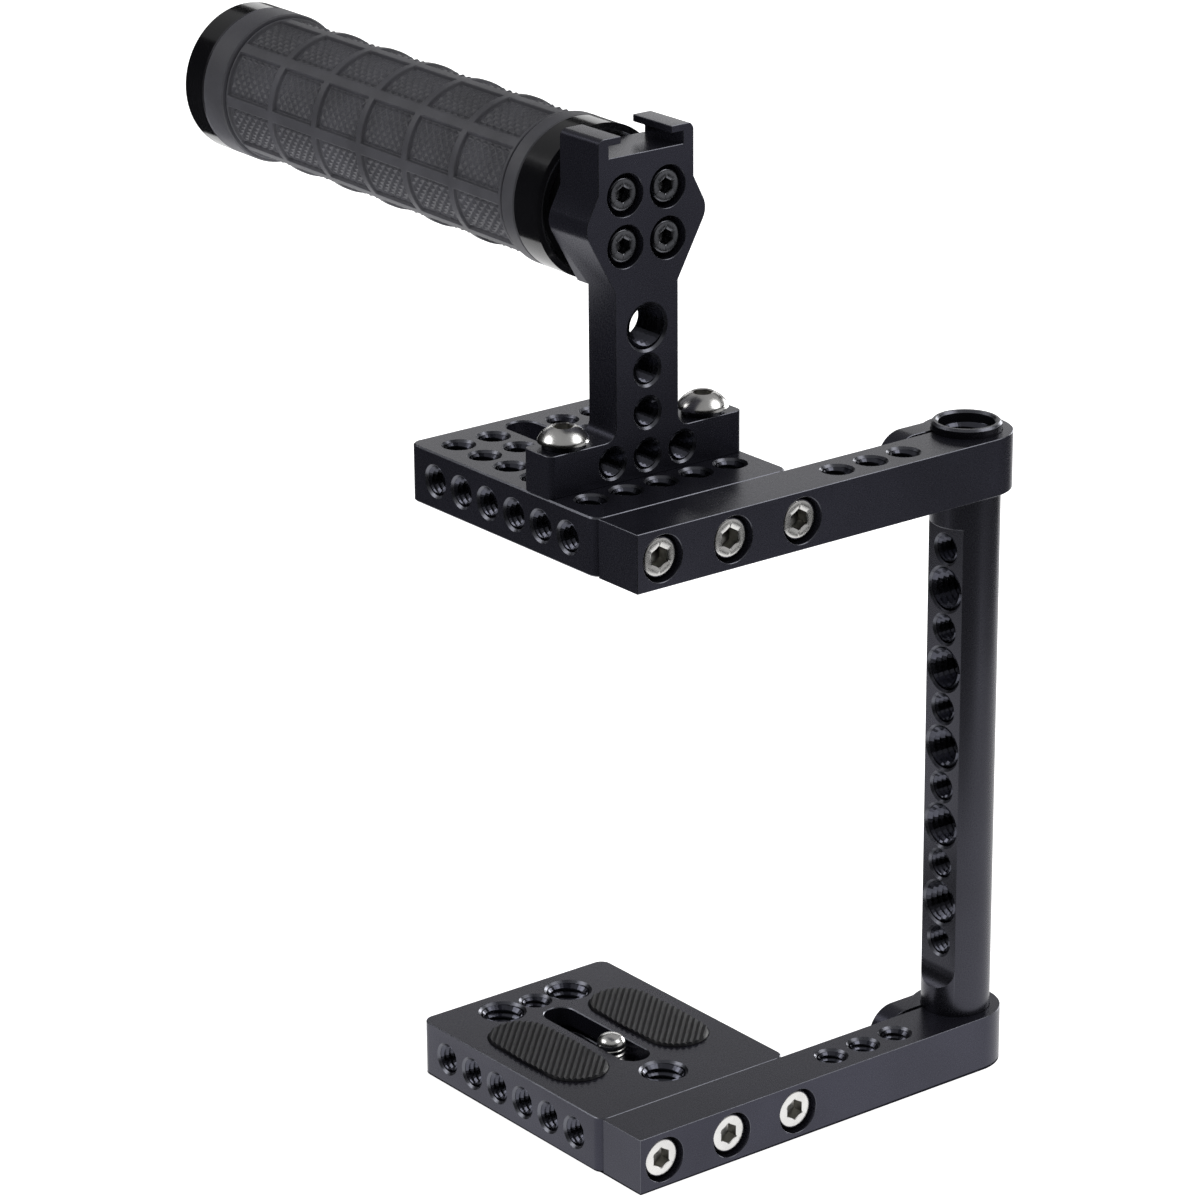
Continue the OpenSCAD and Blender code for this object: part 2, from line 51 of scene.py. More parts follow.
# The linear colour of an sRGB hex code, with an alpha of 1
def linear(code):
    parts = [int(code[i:i + 2], 16) / 255 for i in (1, 3, 5)]
    return [c / 12.92 if c <= 0.04045 else ((c + 0.055) / 1.055) ** 2.4 for c in parts] + [1]


# Adds a node with its settings, and with a value or a link on each named input
def add_node(material, kind, inputs=None, **settings):
    node = material.node_tree.nodes.new(kind)
    for name, value in settings.items():
        setattr(node, name, value)
    for name, value in (inputs or {}).items():
        if isinstance(value, bpy.types.NodeSocket):
            material.node_tree.links.new(value, node.inputs[name])
        else:
            node.inputs[name].default_value = value
    return node


# A surface with two near colours in soft patches, a roughness that wavers, and a fine grain. The
# sizes of patches and grains and the depth of the grains are in millimetres
def surface(name, dark, light, patch, grain, metallic, rough, waver, depth, shader=None):
    material = bpy.data.materials.new(name)
    material.use_nodes = True
    material.node_tree.nodes.clear()
    place = add_node(material, "ShaderNodeTexCoord")
    patches = add_node(material, "ShaderNodeTexNoise",
                       {"Vector": place.outputs["Object"], "Scale": 1 / (patch * mm), "Detail": 3.0})
    grains = add_node(material, "ShaderNodeTexNoise",
                      {"Vector": place.outputs["Object"], "Scale": 1 / (grain * mm), "Detail": 2.0})
    colours = add_node(material, "ShaderNodeValToRGB", {"Fac": patches.outputs["Fac"]})
    for element, code, stop in zip(colours.color_ramp.elements, (dark, light), (0.35, 0.65)):
        element.color, element.position = linear(code), stop
    gloss = add_node(material, "ShaderNodeMapRange",
                     {"Value": grains.outputs["Fac"], "From Min": 0.3, "From Max": 0.7,
                      "To Min": rough - waver, "To Max": rough + waver}, clamp=True)
    bump = add_node(material, "ShaderNodeBump",
                    {"Height": grains.outputs["Fac"], "Strength": 1.0, "Distance": depth * mm})
    skin = add_node(material, "ShaderNodeBsdfPrincipled",
                    {"Base Color": colours.outputs["Color"], "Metallic": metallic,
                     "Roughness": gloss.outputs["Result"], "Normal": bump.outputs["Normal"]}
                    | (shader or {}))
    add_node(material, "ShaderNodeOutputMaterial", {"Surface": skin.outputs["BSDF"]})
    return material


# Bead-blasted and anodised: satin, near black, with a grain of about 0.3 mm
black_anodised = surface("black_anodised_aluminium", "#34343e", "#3a3a45",
                         25, 0.3, 0.75, 0.28, 0.03, 0.0003)
# The same dye on the cut chamfers, which the tool left smooth, a little lighter: partly handling
# wear, and partly a painted highlight where the edges catch the light
chamfer_wear_and_painted_highlight = surface("anodised_chamfer_wear_and_painted_highlight", "#606168", "#6c6d74", 8, 0.4, 0.95, 0.3, 0.04, 0.0005)
block_look = [black_anodised, chamfer_wear_and_painted_highlight]


# Makes a piece out of a bmesh, shaded smooth where its faces meet at less than so many degrees
def show(bm, name, body, materials, smooth=32):
    for face in bm.faces:
        face.smooth = smooth > 0
    for edge in bm.edges:
        edge.smooth = not edge.is_manifold or edge.calc_face_angle(0) < math.radians(smooth)
    mesh = bpy.data.meshes.new(name)
    bm.to_mesh(mesh)
    bm.free()
    for material in materials:
        mesh.materials.append(material)
    piece = bpy.data.objects.new(name, mesh)
    bpy.context.scene.collection.objects.link(piece)
    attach(piece, body)
    return piece


weld = 0.002
level_within, sharp_from = math.radians(0.6), math.radians(70)
slant_least, slant_most, mouth_area = 0.66, 0.75, 0.8


# A copy of a CAD block whose sharp outer edges are cut back by a chamfer coloured with a painted
# highlight. The small slanting faces at the mouths of its holes are cut like the chamfers and get the
# same painted highlight: at 45 degrees, a part of the face's normal is about 0.71
def with_chamfers(node, cut, body, materials):
    bm = bmesh.new()
    bm.from_mesh(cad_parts[node].data)
    bmesh.ops.remove_doubles(bm, verts=bm.verts[:], dist=weld * mm)
    bmesh.ops.dissolve_limit(bm, angle_limit=level_within, verts=bm.verts[:], edges=bm.edges[:])
    sharp = [edge for edge in bm.edges
             if edge.is_manifold and edge.calc_face_angle_signed(0) > sharp_from]
    cuts = bmesh.ops.bevel(bm, geom=sharp, offset=cut * mm, offset_type="OFFSET", segments=1,
                           profile=0.5, affect="EDGES", clamp_overlap=True, material=-1)
    for face in bm.faces:
        slants = any(slant_least < abs(part) < slant_most for part in face.normal)
        face.material_index = int(slants and face.calc_area() < mouth_area * mm * mm)
    for face in cuts["faces"]:
        face.material_index = 1
    piece = show(bm, node + "_block", body, materials)
    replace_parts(piece, node)


with_chamfers("base_plate", block_cut, "base", block_look)

# Threads of the base plate: 1/4-20 in the sides and at the back, 3/8-16 in the three large holes.
# The tap cuts a helix of 60 degrees, and its crests stand inward from the bore's wall.
quarter_inch, three_eighths = (6.35, 1.27), (9.525, 1.5875)
mouth_chamfer = 0.5
# How far a sleeve reaches into the wall and how thick it is, and how deep a thread is cut in parts of
# its pitch, in a hole and on a shank
in_wall, thread_wall, inside_depth, outside_depth = 0.01, 0.08, 0.54, 0.6
up = (0, 0, 1)
# Cut threads: the flanks are smoother than the blasted faces, so they glint
cut_thread = surface("anodised_thread", "#4a4b53", "#565761", 6, 0.5, 0.95, 0.2, 0.03, 0.0003)


# Sets a part that points up on its seat, turned to point outward, and joins it to those in bm
def set_on(bm, part, seat, outward):
    turn = Vector(up).rotation_difference(Vector(outward)).to_matrix().to_4x4()
    part.transform(Matrix.Translation(Vector(seat) * mm) @ turn)
    loose = bpy.data.meshes.new("loose")
    part.to_mesh(loose)
    part.free()
    bm.from_mesh(loose)
    bpy.data.meshes.remove(loose)


# The sleeve that a thread leaves in a hole, or on a shank where it isn't inside: a zigzag spine is
# spun along the helix, and cut level at its start below the mouth and at its length
def add_thread(bm, mouth, outward, across, pitch, length, start=mouth_chamfer, inside=True, steps=32):
    sleeve = bmesh.new()
    wide = across / 2 + (in_wall if inside else 0)
    narrow = across / 2 - (inside_depth if inside else outside_depth) * pitch
    turns = math.ceil(length / pitch) + 2
    spine = [sleeve.verts.new(((wide if i % 2 else narrow) * mm, 0, (i / 2 - turns) * pitch * mm))
             for i in range(2 * turns + 1)]
    edges = [sleeve.edges.new(pair) for pair in zip(spine, spine[1:])]
    bmesh.ops.spin(sleeve, geom=spine + edges, cent=(0, 0, 0), axis=up,
                   dvec=(0, 0, pitch * mm / steps), angle=math.tau, steps=steps)
    bmesh.ops.remove_doubles(sleeve, verts=sleeve.verts[:], dist=weld * mm)
    for level, cleared in ((-start, {"clear_outer": True}), (-length, {"clear_inner": True})):
        bmesh.ops.bisect_plane(sleeve, geom=sleeve.verts[:] + sleeve.edges[:] + sleeve.faces[:],
                               plane_co=(0, 0, level * mm), plane_no=up, **cleared)
    sleeve.normal_update()
    for face in sleeve.faces:
        centre = face.calc_center_median()
        away = face.normal.dot(Vector((centre.x, centre.y, 0)))
        if (away > 0) == inside:
            face.normal_flip()
    set_on(bm, sleeve, mouth, outward)


# Each sleeve gets a thin wall that reaches into the metal round it
def show_threads(bm, name, body, material=cut_thread):
    piece = show(bm, name, body, [material], smooth=0)
    wall = piece.modifiers.new("wall", "SOLIDIFY")
    wall.thickness, wall.offset = thread_wall * mm, -1


grid_step, grid_rows = 9, 6
side_holes = [plate_middle + (row - (grid_rows - 1) / 2) * grid_step for row in range(grid_rows)]
back_row, side_hole_deep, through = 45, 8, deck_low - mouth_chamfer
threads = bmesh.new()
for side in (-1, 1):
    for y in side_holes:
        add_thread(threads, (side * plate_half, y, deck_low / 2), (side, 0, 0), *quarter_inch,
                   side_hole_deep)
    add_thread(threads, (side * grid_step, back_row, deck_low), up, *three_eighths, through)
add_thread(threads, (0, back_row, deck_low), up, *quarter_inch, through)
add_thread(threads, (0, 0, deck_low), up, *three_eighths, through)
show_threads(threads, "base_plate_threads", "base")

# Arms: flat bars of the same alloy, each with a split ring round the rod and a finger behind the
# slit. Three upright holes in each are tapped 1/4-20.
arm_middle, arm_holes = -16.75, (32.5, 41.5, 50.5)
top_low = 132
deck_high = top_low + deck_low
for node, body, level in (("base_arm", "base", deck_low), ("top_arm", "top", deck_high)):
    with_chamfers(node, block_cut, body, block_look)
    threads = bmesh.new()
    for x in arm_holes:
        add_thread(threads, (x, arm_middle, level), up, *quarter_inch, through)
    show_threads(threads, node + "_threads", body)

# Arm screws: M5 socket head screws of stainless steel, turned and polished, in counterbores in the
# arms' front faces. A broached hexagon sits in each head.
arm_front, seat_deep, screw_step, front = -23, 6, 18, (0, -1, 0)
screw_sides, lead_in = 48, 0.15
# Turned and polished steel: nearly white, with a grain too fine to see as more than a soft gloss
bright_steel = surface("stainless_steel", "#dcdbd9", "#e8e7e5", 5, 0.3, 1.0, 0.25, 0.02, 0.0002)
# The broach tears the steel a little, so the socket is duller and darker than the head
socket_steel = surface("broached_steel", "#a9a8a4", "#c2c1bd", 2, 0.3, 1.0, 0.32, 0.04, 0.001)


# Spins an outline of (radius, height) round the upright axis
def spin_outline(bm, outline, steps):
    line = [bm.verts.new((r * mm, 0, z * mm)) for r, z in outline]
    edges = [bm.edges.new(pair) for pair in zip(line, line[1:])]
    bmesh.ops.spin(bm, geom=line + edges, cent=(0, 0, 0), axis=up, angle=math.tau, steps=steps,
                   use_merge=True)
    bmesh.ops.remove_doubles(bm, verts=bm.verts[:], dist=weld / 2 * mm)


# Spins a screw's outline and broaches a hexagon where the outline ends, a lead-in below the face
def add_screw(bm, seat, outward, outline, across_corners, deep):
    screw = bmesh.new()
    spin_outline(screw, outline, screw_sides)
    top = outline[-1][1]
    rim = [edge for edge in screw.edges if edge.is_boundary]
    made = bmesh.ops.create_circle(screw, segments=6, radius=across_corners / 2 * mm)
    bmesh.ops.translate(screw, verts=made["verts"], vec=(0, 0, (top - lead_in) * mm))
    six = [edge for edge in screw.edges if edge.is_wire]
    bmesh.ops.subdivide_edges(screw, edges=six, cuts=screw_sides // 6 - 1)
    hexagon = [edge for edge in screw.edges if edge.is_wire]
    bmesh.ops.bridge_loops(screw, edges=rim + hexagon)
    hexagon = [edge for edge in screw.edges if edge.is_boundary]
    walls = bmesh.ops.extrude_edge_only(screw, edges=hexagon)["geom"]
    low = [item for item in walls if isinstance(item, bmesh.types.BMVert)]
    bmesh.ops.translate(screw, verts=low, vec=(0, 0, -deep * mm))
    rim = [edge for edge in screw.edges if edge.is_boundary]
    floor = bmesh.ops.extrude_edge_only(screw, edges=rim)["geom"]
    for face in (item for item in walls + floor if isinstance(item, bmesh.types.BMFace)):
        face.material_index = 1
    tip = [item for item in floor if isinstance(item, bmesh.types.BMVert)]
    bmesh.ops.pointmerge(screw, verts=tip,
                         merge_co=(0, 0, (top - deep - lead_in - across_corners / 6) * mm))
    bmesh.ops.recalc_face_normals(screw, faces=screw.faces[:])
    set_on(bm, screw, seat, outward)


# The outline of a cap screw from the tip of its shank to the edge of its socket
def cap_screw(shank, reach, head, tall, socket):
    return [(0, -reach), (shank / 2 - 0.5, -reach), (shank / 2, 0.5 - reach), (shank / 2, 0),
            (head / 2 - 0.2, 0), (head / 2, 0.2), (head / 2, tall - 0.55),
            (head / 2 - 0.07, tall - 0.25), (head / 2 - 0.25, tall - 0.07), (head / 2 - 0.55, tall),
            (socket / 2 + 0.15, tall)]


for half, level in (("base", 0), ("top", top_low)):
    for i in range(3):
        name = f"{half}_arm_screw_{i + 1}"
        bm = bmesh.new()
        add_screw(bm, ((i - 1) * screw_step, arm_front + seat_deep, level + deck_low / 2), front,
                  cap_screw(shank=5, reach=11, head=8.5, tall=5, socket=4.6),
                  across_corners=4.6, deep=2.6)
        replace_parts(show(bm, name + "_turned", half, [bright_steel, socket_steel]), name)

# Clamp screws: M4 socket head screws in black oxide, which draw the arms' split ends together
# round the rod. They are put in from behind, in counterbores.
clamp_x, clamp_seat = 60, -6.4
# Steel blackened in hot oxide: dark grey, and still a metal where it meets the light
black_oxide = surface("black_oxide_steel", "#66676c", "#77787d", 3, 0.3, 1.0, 0.28, 0.04, 0.0006)
# The broached walls under the same oxide, which takes a little lighter there
dark_socket = surface("oxide_socket", "#6b6c6f", "#7b7c7f", 2, 0.3, 1.0, 0.27, 0.04, 0.001)
for half, level in (("base", 0), ("top", top_low)):
    name = half + "_clamp_screw"
    bm = bmesh.new()
    add_screw(bm, (clamp_x, clamp_seat, level + deck_low / 2), (0, 1, 0),
              cap_screw(shank=4, reach=11.5, head=7, tall=4, socket=3.4), across_corners=3.4, deep=2)
    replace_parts(show(bm, name + "_turned", half + "_pinch",
                     [black_oxide, dark_socket]), name)

# Pads: two black rubber pads pressed into pockets beside the slot, moulded with slanting ribs
# 1.3 mm apart, so that a camera doesn't turn on its screw. The edge round the ribs is bevelled.
pad_wide, pad_long, pad_tall = 14.3, 33.3, 2.0
pad_x, pad_y, pocket_deep = 13.7, 22.5, 1.2
half_rib, rib_deep, rib_rows, spare, edge_cut, pad_sides = 0.65, 0.4, 60, 1.3, 0.3, 72
straight = (pad_long - pad_wide) / 2 * mm
# Moulded rubber: almost black and dull, with a skin of 0.25 mm grains
pad_rubber = surface("moulded_black_rubber", "#151518", "#1b1b1f", 6, 0.25, 0.0, 0.5, 0.05, 0.004,
                     {"Specular IOR Level": 0.25})
for side, name in ((-1, "pad_left"), (1, "pad_right")):
    bm = bmesh.new()
    bmesh.ops.create_grid(bm, x_segments=rib_rows, y_segments=1, size=0.5)
    for vert in bm.verts:
        row = round((vert.co.x + 0.5) * rib_rows)
        vert.co = Vector(((row - rib_rows / 2) * half_rib, vert.co.y * pad_long * spare,
                          pad_tall - row % 2 * rib_deep)) * mm
    bm.transform(Matrix.Rotation(-math.pi / 4, 4, "Z"))
    for k in range(pad_sides):
        around = math.radians((k + 0.5) * 360 / pad_sides)
        outward = Vector((math.cos(around), math.sin(around), 0))
        edge = (outward * (pad_wide / 2 - edge_cut) * mm
                + Vector((0, math.copysign(straight, outward.y), 0)))
        bmesh.ops.bisect_plane(bm, geom=bm.verts[:] + bm.edges[:] + bm.faces[:], plane_co=edge,
                               plane_no=outward, clear_outer=True)
    for level in (pad_tall - rib_deep - edge_cut, 0):
        rim = [edge for edge in bm.edges if edge.is_boundary]
        made = bmesh.ops.extrude_edge_only(bm, edges=rim)["geom"]
        for vert in (item for item in made if isinstance(item, bmesh.types.BMVert)):
            middle = Vector((0, max(-straight, min(straight, vert.co.y)), 0))
            outward = Vector((vert.co.x, vert.co.y, 0)) - middle
            vert.co = middle + outward.normalized() * pad_wide / 2 * mm + Vector((0, 0, level * mm))
    bmesh.ops.edgeloop_fill(bm, edges=[edge for edge in bm.edges if edge.is_boundary])
    bmesh.ops.recalc_face_normals(bm, faces=bm.faces[:])
    bm.transform(Matrix.Translation(Vector((side * pad_x, pad_y, deck_low - pocket_deep)) * mm))
    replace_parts(show(bm, name + "_ribbed", "base", [pad_rubber], smooth=20), name)

# Camera screw: a 1/4-20 screw of bright steel with a round thumb head below, a washer and a
# sliding plate that hold it in the channel. Its rounded tip stands in the slot.
screw_back, thread_top, thread_long = 18, 12.5, 4.2
tip_r, tip_low, tip_tall, tip_top = 3.15, 12.35, 2.25, 14.6
turned = [(0, 0.4), (4.2, 0.4), (4.7, 0.9), (4.7, 2.7), (4.2, 3.2), (2.45, 3.2), (2.45, 8.4),
          (2.5, 8.4)]
turned += [(tip_r * math.cos(a), tip_low + tip_tall * math.sin(a))
           for a in (math.radians(10 * k) for k in range(9))]
bm = bmesh.new()
spin_outline(bm, turned + [(0, tip_top)], screw_sides)
bmesh.ops.recalc_face_normals(bm, faces=bm.faces[:])
bm.transform(Matrix.Translation((0, screw_back * mm, 0)))
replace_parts(show(bm, "camera_screw_turned", "screw", [bright_steel]), "camera_screw")
bm = bmesh.new()
add_thread(bm, (0, screw_back, thread_top), up, *quarter_inch, thread_long, start=0, inside=False,
           steps=36)
show_threads(bm, "camera_screw_thread", "screw", bright_steel)
# Rolled and tumbled steel: a plain grey with no polish, so its highlights are wide and soft
satin_steel = surface("satin_steel", "#8a8b8e", "#9c9da0", 4, 0.3, 1.0, 0.35, 0.05, 0.003)


# Gives its finish to a CAD node that keeps its shape
def dress(name, material):
    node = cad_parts[name]
    node.data.materials.clear()
    node.data.materials.append(material)


for name in ("screw_slider", "screw_washer"):
    dress(name, satin_steel)

# Rod: a 15 mm tube of aluminium with a flat milled along it, eleven tapped holes in that flat and
# an M12 thread in each end, the upper one below a plain mouth.
rod_x, rod_y, rod_low, rod_high = 71, -13.2, 0.5, 146.5
flat_x, first_hole, rod_hole_deep = 65.8, 28.8, 8.5
end_thread, end_deep, end_mouth, end_steps = (12, 1.75), 13.5, 2.5, 48
rod_holes, turned_cut = 11, 0.25
# Turned and anodised: it shines a little more than the blasted blocks
rod_anodised = surface("turned_anodised_aluminium", "#3b3b42", "#404048",
                       30, 0.25, 0.85, 0.27, 0.02, 0.0001)
with_chamfers("rod", turned_cut, "rod_body", [rod_anodised, chamfer_wear_and_painted_highlight])
threads = bmesh.new()
for i in range(rod_holes):
    add_thread(threads, (flat_x, rod_y, first_hole + i * grid_step), (-1, 0, 0),
               *(three_eighths if i % 2 else quarter_inch), rod_hole_deep)
add_thread(threads, (rod_x, rod_y, rod_high), up, *end_thread, end_deep, start=end_mouth,
           steps=end_steps)
add_thread(threads, (rod_x, rod_y, rod_low), (0, 0, -1), *end_thread, end_deep, steps=end_steps)
show_threads(threads, "rod_threads", "rod_body")

# Upper plate: the same block as the base, drilled as a full grid of 1/4-20 holes with a slot. The
# post's foot covers the second row, and two bolts stand in its outer holes.
upper_side_deep = 3.4
with_chamfers("top_plate", block_cut, "top", block_look)
threads = bmesh.new()
for side in (-1, 1):
    for y in side_holes:
        add_thread(threads, (side * plate_half, y, top_low + deck_low / 2), (side, 0, 0),
                   *quarter_inch, upper_side_deep)
for column in (-2, -1, 1, 2):
    for row in range(grid_rows):
        if not (abs(column) == 2 and row == 1):
            add_thread(threads, (column * grid_step, row * grid_step, deck_high), up, *quarter_inch,
                       through)
add_thread(threads, (0, 0, deck_high), up, *quarter_inch, through)
show_threads(threads, "top_plate_threads", "top")

# Handle post: one milled block of the same alloy. Its foot is bolted to the upper plate, its column
# has tapped holes, and its head carries an accessory shoe and the handle.
post_cut, post_front, post_low, post_hole_deep = 0.35, 4.5, 149, 8.5
with_chamfers("handle_post", post_cut, "top", block_look)
threads = bmesh.new()
for column, row in ((0, 0), (0, 1), (0, 2), (-1, 0), (1, 0)):
    add_thread(threads, (column * grid_step, post_front, post_low + row * grid_step), front,
               *quarter_inch, post_hole_deep)
add_thread(threads, (0, post_front, post_low + 3 * grid_step), front, *three_eighths, post_hole_deep)
show_threads(threads, "post_threads", "top")

# Foot bolts: polished dome-head screws through the foot into the plate, each on a washer of steel
# blackened in hot oxide. The dome is part of a sphere above a narrow straight rim.
bolt_x, bolt_y, foot_seat, foot_reach = 18, 9, 154.6, 19.1
shank_r, dome_r, dome_rim, dome_high, washer_cut = quarter_inch[0] / 2, 5.4, 0.4, 3.6, 0.12
ball_r = (dome_r ** 2 + (dome_high - dome_rim) ** 2) / (2 * (dome_high - dome_rim))
bolt = [(0, -foot_reach), (2.6, -foot_reach), (shank_r, 0.6 - foot_reach), (shank_r, 0),
        (dome_r, 0), (dome_r, dome_rim)]
bolt += [(r, dome_high - ball_r + math.sqrt(ball_r ** 2 - r ** 2))
         for r in (5.1, 4.7, 4.2, 3.6, 3.0, 2.35)]
for side, word in ((-1, "left"), (1, "right")):
    bm = bmesh.new()
    add_screw(bm, (side * bolt_x, bolt_y, foot_seat), up, bolt, across_corners=4.4, deep=1.6)
    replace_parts(show(bm, f"foot_bolt_{word}_domed", "top", [bright_steel, socket_steel]),
                "foot_bolt_" + word)
    with_chamfers("foot_washer_" + word, washer_cut, "top", [black_oxide, black_oxide])

# Head screws: four M4 socket head screws in black oxide that hold the handle on the post. They sit
# in counterbores in the head's front, at the corners of a square round the handle's axis.
axis_high, corner_x, corner_z, head_seat = 199, 5.4, 5.3, 9.1
for i, (x, z) in enumerate(((-1, 1), (1, 1), (-1, -1), (1, -1))):
    name = f"head_screw_{i + 1}"
    bm = bmesh.new()
    add_screw(bm, (x * corner_x, head_seat, axis_high + z * corner_z), front,
              cap_screw(shank=4, reach=17.9, head=7, tall=4, socket=3.4), across_corners=3.4, deep=2)
    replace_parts(show(bm, name + "_turned", "top", [black_oxide, dark_socket]), name)

# Collar and end cap: a ring in front of the rubber sleeve and a cap that closes the handle at the
# back, both turned from aluminium and polished before they were dyed.
# Gloss black anodising: a deep black that mirrors the lights as clear streaks
gloss_black = surface("gloss_black_anodised", "#17171a", "#1c1c1f", 20, 0.6, 0.5, 0.14, 0.02, 0.0005,
                      {"Coat Weight": 0.3, "Coat Roughness": 0.08})
# Its cut edges are a little rougher and painted much lighter, a painted highlight, so that they show
# as grey lines
gloss_edge_painted_highlight = surface("gloss_black_edge_painted_highlight", "#5c5c61", "#69696e", 10, 0.6, 0.9, 0.25, 0.02, 0.0005)
for name in ("front_collar", "end_cap"):
    with_chamfers(name, turned_cut, "top", [gloss_black, gloss_edge_painted_highlight])

# Grip core: the turned metal part inside the handle. The head screws hold it on the post, and the
# collar, the sleeve and the cap sit on it and hide it.
dress("grip_core", satin_steel)

# Grip: a sleeve of charcoal rubber pulled over the core and moulded in one piece. Raised rings and
# lines part it into six by eight sunk panels, rows of small pointed studs in the panels give the
# hand a hold, and a taller flange closes it at the back.
head_back, sleeve_front, sleeve_long, grip_rise = 17, 27.4, 112.6, math.radians(0.8)
full_r, front_r, flange_r, inner_r = 15.75, 16.1, 16.5, 12.3
groove_r, rear_groove_r, sunk, sunk_slope, stud_high = 15.3, 15.2, 0.8, 0.3, 0.42
sectors, sector_steps, line_steps, bands, band_steps = 8, 11, 2, 6, 13
first_ring, last_ring, ring_half = 5.6, 104.2, 0.9
band_pitch = (last_ring - first_ring) / bands
band_ends = [(first_ring + band * band_pitch + (ring_half if band else 0),
              first_ring + (band + 1) * band_pitch - (ring_half if band < bands - 1 else 0))
             for band in range(bands)]
profile = [(front_r - 0.4, 0), (front_r, 0.4), (front_r, 4), (front_r - 0.4, 4.3), (groove_r, 4.4),
           (groove_r, 4.8), (full_r, 4.9)]
for low, high in band_ends:
    profile += [(full_r, low + (high - low) * k / band_steps) for k in range(band_steps + 1)]
profile += [(full_r, 104.6), (rear_groove_r, 104.7), (rear_groove_r, 105), (flange_r - 0.3, 105.1),
            (flange_r, 105.4), (flange_r, sleeve_long - 0.4), (flange_r - 0.4, sleeve_long)]
bm = bmesh.new()
spin_outline(bm, profile, sectors * sector_steps)
bmesh.ops.recalc_face_normals(bm, faces=bm.faces[:])
step_angle = 360 / (sectors * sector_steps)
sector_angle = sector_steps * step_angle
line_edge = line_steps / 2 * step_angle
panels = []
for face in bm.faces:
    centre = face.calc_center_median()
    around = math.degrees(math.atan2(centre.y, centre.x)) % sector_angle
    if (line_edge < around < sector_angle - line_edge
            and any(low < centre.z / mm < high for low, high in band_ends)):
        panels.append(face)
bmesh.ops.inset_region(bm, faces=panels, thickness=sunk_slope * mm, depth=-sunk * mm,
                       use_boundary=True, use_even_offset=True)
# In the panels every second point of the grid is drawn out to a stud
sunk_faces = set(panels)
valleys = []
for vert in [vert for vert in bm.verts if sunk_faces.intersection(vert.link_faces)]:
    turn = round(math.degrees(math.atan2(vert.co.y, vert.co.x)) / step_angle)
    for low, high in band_ends:
        if low - 0.5 < vert.co.z / mm < high + 0.5:
            row = round((vert.co.z / mm - low) / (high - low) * band_steps)
    if (turn + row) % 2 and sunk_faces.issuperset(vert.link_faces):
        vert.co += Vector((vert.co.x, vert.co.y, 0)).normalized() * stud_high * mm
    else:
        valleys.append(vert)
bmesh.ops.connect_verts(bm, verts=valleys)
rims = [edge for edge in bm.edges if edge.is_boundary]
inner = bmesh.ops.extrude_edge_only(bm, edges=rims)["geom"]
for vert in (item for item in inner if isinstance(item, bmesh.types.BMVert)):
    flat = Vector((vert.co.x, vert.co.y, 0)).normalized() * inner_r * mm
    vert.co.x, vert.co.y = flat.x, flat.y
bmesh.ops.bridge_loops(bm, edges=[edge for edge in bm.edges if edge.is_boundary])
bmesh.ops.recalc_face_normals(bm, faces=bm.faces[:])
bm.transform(Matrix.Translation(Vector((0, head_back, axis_high)) * mm)
             @ Matrix.Rotation(grip_rise - math.pi / 2, 4, "X")
             @ Matrix.Translation((0, 0, (sleeve_front - head_back) * mm)))
# Moulded rubber: dull, a little lighter than the metal, with a skin of fine speckles
grip_rubber = surface("charcoal_grip_rubber", "#414146", "#4c4c52",
                      12, 0.35, 0.0, 0.48, 0.05, 0.006)
piece = show(bm, "grip_sleeve", "top", [grip_rubber], smooth=30)
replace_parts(piece, "grip_rubber")
round_over = piece.modifiers.new("round_over", "BEVEL")
round_over.width, round_over.segments, round_over.limit_method = 0.2 * mm, 2, "ANGLE"
round_over.angle_limit = math.radians(50)

# Studio: a plain pale floor that the mirrors don't see, with a sheet of light along it in its
# place, so that the blocks mirror it only where they are low. A dark card under the base is painted
# shade: it keeps the floor's glow out of the slot.
floor_half, floor_drop = 6, 0.05
card_half_wide, card_half_long, card_back, card_lift = 24.4, 37, 15.3, 0.03


# A flat card that lies level, by its half width, half length and middle in metres
def card(name, half_wide, half_long, place):
    bm = bmesh.new()
    bmesh.ops.create_grid(bm, x_segments=1, y_segments=1, size=1)
    bmesh.ops.scale(bm, verts=bm.verts[:], vec=(half_wide, half_long, 1))
    bmesh.ops.translate(bm, verts=bm.verts[:], vec=place)
    mesh = bpy.data.meshes.new(name)
    bm.to_mesh(mesh)
    bm.free()
    flat = bpy.data.objects.new(name, mesh)
    bpy.context.scene.collection.objects.link(flat)
    return flat


floor = card("floor", floor_half, floor_half, (0, 0, 0))
floor.location.z = -floor_drop * mm
floor.visible_glossy = False
# Matt paper: nearly white, with a glow of its own, so that it stays even away from the lights
floor.data.materials.append(surface("pale_floor", "#f4f4f4", "#f6f6f6", 900, 40, 0.0, 0.9, 0.02, 0.0,
                                    {"Emission Color": linear("#ffffff"), "Emission Strength": 0.8}))
painted_shade_card = card("painted_shade_under_base", card_half_wide * mm, card_half_long * mm,
             (0, card_back * mm, card_lift * mm))
# Matt paper painted dark, a painted shade where the base stands over the floor
painted_shade_card.data.materials.append(surface("painted_shade_paper", "#1c1c1c", "#202020",
                                    30, 2, 0.0, 0.9, 0.02, 0.0))

# Lights: two broad soft boxes above on both sides, a wide low one behind, a bright one low at the
# right, a ceiling and a faint one in front. They stand where the mirrors of the photograph see
# bright. Angles are in degrees, and distances and sizes in metres.
aim = Vector((0.02, 0.04, 0.1))


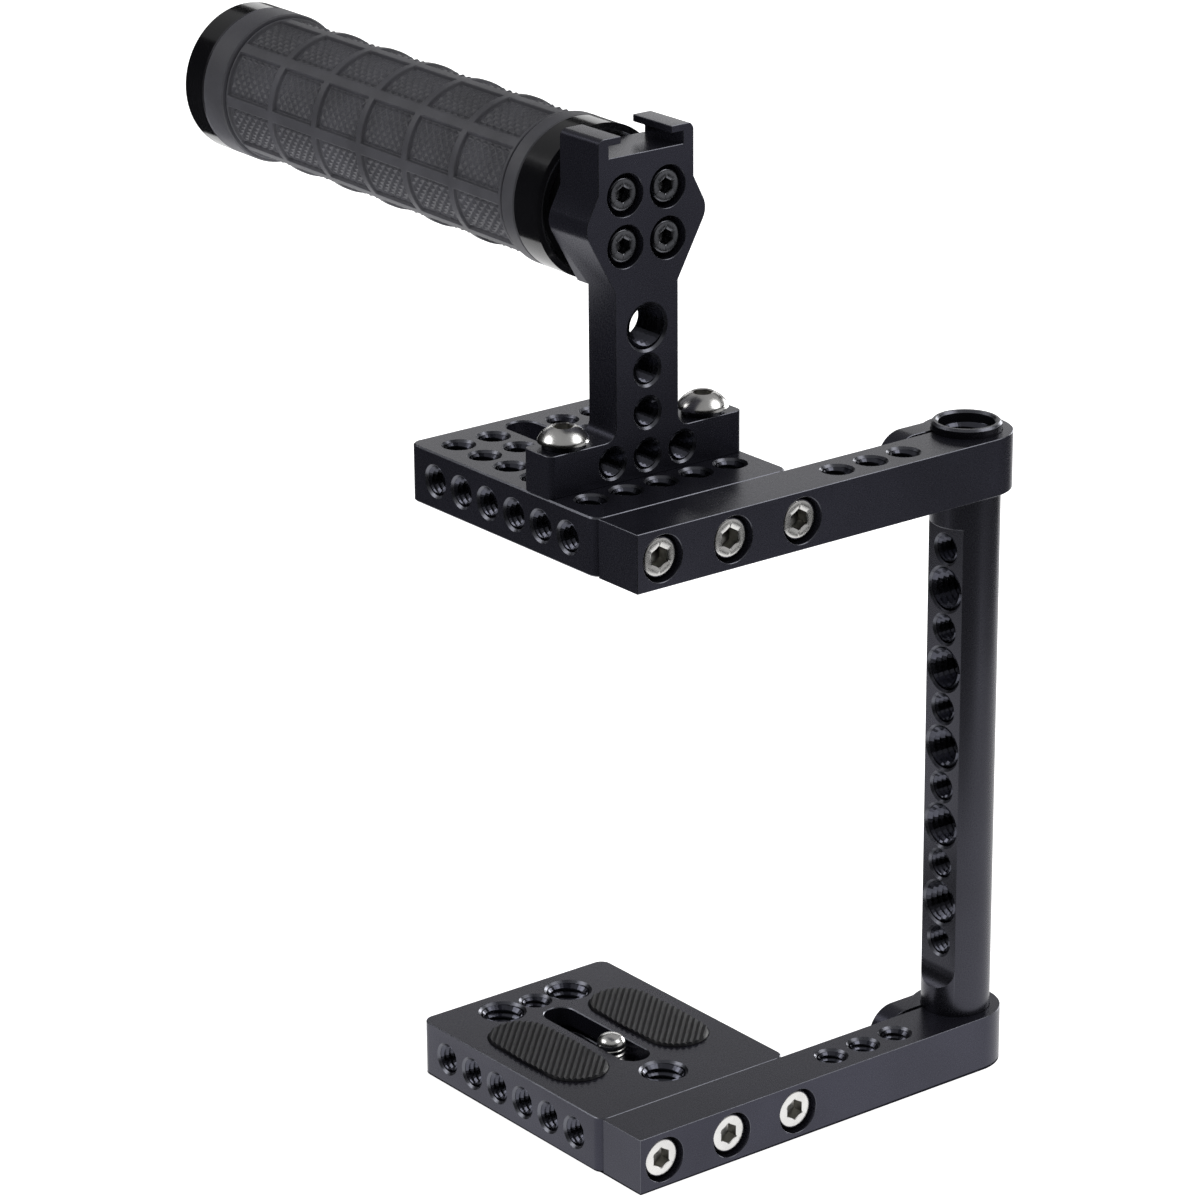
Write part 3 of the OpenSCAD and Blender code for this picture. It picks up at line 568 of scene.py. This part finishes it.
def soft_light(name, azimuth, elevation, away, wide, high, radiance, shape="ELLIPSE"):
    data = bpy.data.lights.new(name, "AREA")
    data.shape, data.size, data.size_y = shape, wide, high
    area = wide * high * (math.pi / 4 if shape == "ELLIPSE" else 1)
    data.energy = radiance * math.pi * area
    light = bpy.data.objects.new(name, data)
    azimuth, elevation = math.radians(azimuth), math.radians(elevation)
    towards = Vector((math.sin(azimuth) * math.cos(elevation),
                      math.cos(azimuth) * math.cos(elevation), math.sin(elevation)))
    light.location = aim + towards * away
    light.rotation_euler = (-towards).to_track_quat("-Z", "Y").to_euler()
    bpy.context.scene.collection.objects.link(light)
    return light


sheet = soft_light("floor_sheet", 0, 0, 0, 0.54, 2.14, 1.05, "RECTANGLE")
sheet.location = (0.603, 0.71, 0.00002)
sheet.rotation_euler = (0, math.pi, math.radians(-37.7))
soft_light("box_left", -54, 40, 1.6, 1.1, 0.7, 2.6)
soft_light("box_right", 132, 47, 1.6, 1.1, 0.8, 2.4)
soft_light("back", 39, 14, 2.0, 1.6, 0.6, 1.15, "RECTANGLE")
soft_light("right", 85, 5, 1.2, 0.8, 0.5, 7.0)
soft_light("ceiling", 0, 90, 1.1, 3.6, 3.6, 0.3)
soft_light("front", 142, 3, 0.9, 1.0, 0.5, 0.45)
world = bpy.data.worlds.new("studio")
world.use_nodes = True
world.node_tree.nodes["Background"].inputs["Color"].default_value = linear("#ffffff")
world.node_tree.nodes["Background"].inputs["Strength"].default_value = 0.2
world.cycles_visibility.glossy = False
bpy.context.scene.world = world
bpy.context.scene.view_settings.view_transform = "Standard"

# Camera at the photograph's viewing angle: 37.7 degrees to the left and 20.1 above. Its place is in
# metres, and its focal length was fitted in pixels of the 1200 pixel wide picture.
azimuth, elevation, roll = map(math.radians, (37.662, 20.106, -0.457))
place, focal_pixels, picture_wide, sensor = (-0.56599, -0.71258, 0.45205), 4738, 1200, 36
ahead = Vector((math.sin(azimuth) * math.cos(elevation),
                math.cos(azimuth) * math.cos(elevation), -math.sin(elevation)))
level = Vector((math.cos(azimuth), -math.sin(azimuth), 0))
upward = level.cross(ahead)
right = level * math.cos(roll) + upward * math.sin(roll)
top = upward * math.cos(roll) - level * math.sin(roll)
camera = bpy.data.objects.new("camera", bpy.data.cameras.new("camera"))
camera.data.sensor_width, camera.data.lens = sensor, focal_pixels / picture_wide * sensor
camera.data.clip_start = 0.01
camera.matrix_world = (Matrix.Translation(place)
                       @ Matrix((right, top, -ahead)).transposed().to_4x4())
bpy.context.scene.collection.objects.link(camera)
bpy.context.scene.camera = camera
